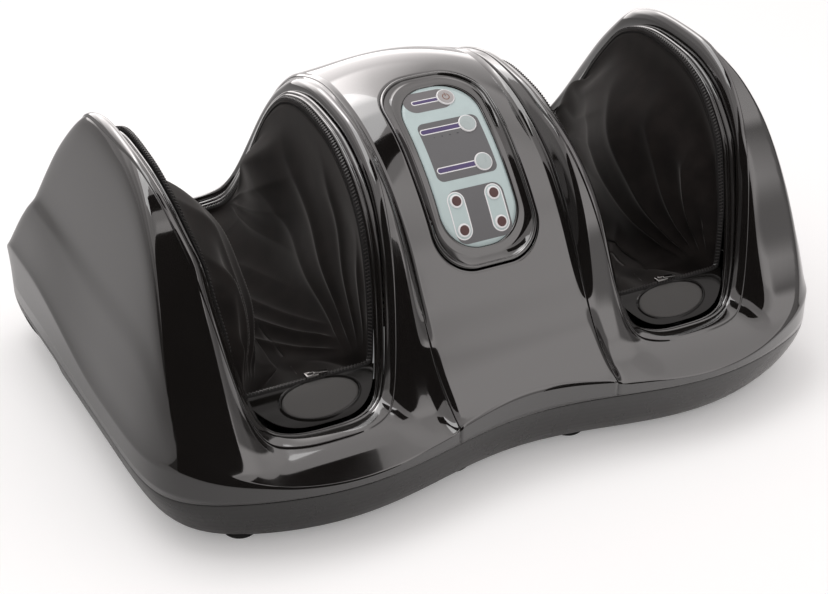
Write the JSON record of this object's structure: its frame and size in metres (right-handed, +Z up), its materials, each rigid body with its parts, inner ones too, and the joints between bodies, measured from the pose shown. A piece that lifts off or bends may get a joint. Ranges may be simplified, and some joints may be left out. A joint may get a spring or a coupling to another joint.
{
  "type": "vibrating foot massager",
  "caption": "Floor-standing foot massager with two cloth-lined foot wells, a control panel on the hump between them, and a kneading and vibrating drive inside.",
  "frame": {"origin": "middle of the bounding box, on the floor plane under the rubber feet", "axes": "+X to the user's right, across the two wells; +Y to the rear; +Z up"},
  "size_m": [0.5587, 0.407, 0.2502],
  "materials": {
    "housing_black": "high gloss moulded ABS",
    "rim_black": "high gloss moulded ABS",
    "tub_black": "gloss moulded ABS",
    "oval_grey": "fine matte",
    "label_film": "satin printed film",
    "button_grey": "satin",
    "button_dark": "satin",
    "liner_cloth": "thin stretch knit, matte",
    "zip_tape": "fine nylon coil",
    "zip_metal": "polished zinc",
    "foot_rubber": "matte",
    "screw_steel": "zinc plated",
    "inlet_black": "fine matte",
    "board_green": "solder mask",
    "shaft_steel": "ground",
    "gear_acetal": "natural acetal",
    "motor_steel": "zinc plated",
    "bracket_steel": "grey powder coat",
    "bush_bronze": "sintered bronze",
    "inner_plastic": "natural moulded",
    "weight_brass": "turned"
  },
  "bodies": {
    "base": {"left_cover": "housing_black", "right_cover": "housing_black", "console_cover": "housing_black", "left_rim": "rim_black", "right_rim": "rim_black", "control_bezel": "rim_black", "left_toe_plate": "rim_black", "right_toe_plate": "rim_black", "base_tub": "tub_black", "left_oval_pad": "oval_grey", "right_oval_pad": "oval_grey", "panel_label": "label_film", "left_liner": "liner_cloth", "right_liner": "liner_cloth", "left_zipper": "zip_tape", "right_zipper": "zip_tape", "rubber_feet": "foot_rubber", "base_screws": "screw_steel", "power_inlet": "inlet_black", "power_board": "board_green", "control_board": "board_green", "gear_motor": "motor_steel", "left_vibration_motor": "motor_steel", "right_vibration_motor": "motor_steel", "motor_bracket": "bracket_steel", "shaft_bushes": "bush_bronze", "bearing_pedestals": "inner_plastic", "plate_guides": "inner_plastic", "left_sole_plate": "inner_plastic", "right_sole_plate": "inner_plastic"},
    "main_shaft": {"main_shaft": "shaft_steel", "drive_gear": "gear_acetal"},
    "drive_pinion": {"drive_pinion": "gear_acetal"},
    "left_outer_kneader": {"left_outer_kneader": "inner_plastic"},
    "left_inner_kneader": {"left_inner_kneader": "inner_plastic"},
    "right_inner_kneader": {"right_inner_kneader": "inner_plastic"},
    "right_outer_kneader": {"right_outer_kneader": "inner_plastic"},
    "left_vibration_weight": {"left_vibration_weight": "weight_brass"},
    "right_vibration_weight": {"right_vibration_weight": "weight_brass"},
    "left_zip_slider": {"left_zip_slider": "zip_metal"},
    "right_zip_slider": {"right_zip_slider": "zip_metal"},
    "power_button": {"power_button": "button_grey"},
    "auto_button": {"auto_button": "button_grey"},
    "manual_button": {"manual_button": "button_grey"},
    "speed_up_button": {"speed_up_button": "button_dark"},
    "speed_down_button": {"speed_down_button": "button_dark"},
    "forward_button": {"forward_button": "button_dark"},
    "reverse_button": {"reverse_button": "button_dark"}
  },
  "joints": [
    {"name": "shaft_spin", "type": "hinge", "parent": "base", "child": "main_shaft", "pos_m": [0, 0.02, 0.052], "axis": [1, 0, 0], "continuous": true},
    {"name": "pinion_spin", "type": "hinge", "parent": "base", "child": "drive_pinion", "pos_m": [0, 0.02, 0.1], "axis": [1, 0, 0], "continuous": true},
    {"name": "left_outer_knead", "type": "hinge", "parent": "base", "child": "left_outer_kneader", "pos_m": [-0.228, 0.02, 0.052], "axis": [0, 1, 0], "range_deg": [-3, 3]},
    {"name": "left_inner_knead", "type": "hinge", "parent": "base", "child": "left_inner_kneader", "pos_m": [-0.066, 0.02, 0.052], "axis": [0, 1, 0], "range_deg": [-3, 3]},
    {"name": "right_inner_knead", "type": "hinge", "parent": "base", "child": "right_inner_kneader", "pos_m": [0.066, 0.02, 0.052], "axis": [0, 1, 0], "range_deg": [-3, 3]},
    {"name": "right_outer_knead", "type": "hinge", "parent": "base", "child": "right_outer_kneader", "pos_m": [0.228, 0.02, 0.052], "axis": [0, 1, 0], "range_deg": [-3, 3]},
    {"name": "left_weight_spin", "type": "hinge", "parent": "base", "child": "left_vibration_weight", "pos_m": [-0.1485, -0.06, 0.0498], "axis": [1, 0, 0], "continuous": true},
    {"name": "right_weight_spin", "type": "hinge", "parent": "base", "child": "right_vibration_weight", "pos_m": [0.1485, -0.06, 0.0498], "axis": [1, 0, 0], "continuous": true},
    {"name": "left_zip_run", "type": "slide", "parent": "base", "child": "left_zip_slider", "axis": [1, 0, 0], "range_m": [-0.024, 0.024]},
    {"name": "right_zip_run", "type": "slide", "parent": "base", "child": "right_zip_slider", "axis": [1, 0, 0], "range_m": [-0.024, 0.024]},
    {"name": "power_press", "type": "slide", "parent": "base", "child": "power_button", "axis": [0, 0.4875, -0.8731], "range_m": [0, 0.0007], "stiffness_N_per_m": 400, "springref_m": -0.0005},
    {"name": "auto_press", "type": "slide", "parent": "base", "child": "auto_button", "axis": [0, 0.5957, -0.8032], "range_m": [0, 0.0007], "stiffness_N_per_m": 400, "springref_m": -0.0005},
    {"name": "manual_press", "type": "slide", "parent": "base", "child": "manual_button", "axis": [0, 0.7157, -0.6984], "range_m": [0, 0.0007], "stiffness_N_per_m": 400, "springref_m": -0.0005},
    {"name": "speed_up_press", "type": "slide", "parent": "base", "child": "speed_up_button", "axis": [0, 0.7951, -0.6065], "range_m": [0, 0.0007], "stiffness_N_per_m": 400, "springref_m": -0.0005},
    {"name": "speed_down_press", "type": "slide", "parent": "base", "child": "speed_down_button", "axis": [0, 0.8561, -0.5168], "range_m": [0, 0.0007], "stiffness_N_per_m": 400, "springref_m": -0.0005},
    {"name": "forward_press", "type": "slide", "parent": "base", "child": "forward_button", "axis": [0, 0.7951, -0.6065], "range_m": [0, 0.0007], "stiffness_N_per_m": 400, "springref_m": -0.0005},
    {"name": "reverse_press", "type": "slide", "parent": "base", "child": "reverse_button", "axis": [0, 0.8561, -0.5168], "range_m": [0, 0.0007], "stiffness_N_per_m": 400, "springref_m": -0.0005}
  ],
  "couplings": [
    {"joint": "pinion_spin", "follows": "shaft_spin", "ratio": -3},
    {"joint": "left_inner_knead", "follows": "left_outer_knead", "ratio": -1},
    {"joint": "right_inner_knead", "follows": "left_outer_knead", "ratio": 1},
    {"joint": "right_outer_knead", "follows": "left_outer_knead", "ratio": -1}
  ]
}
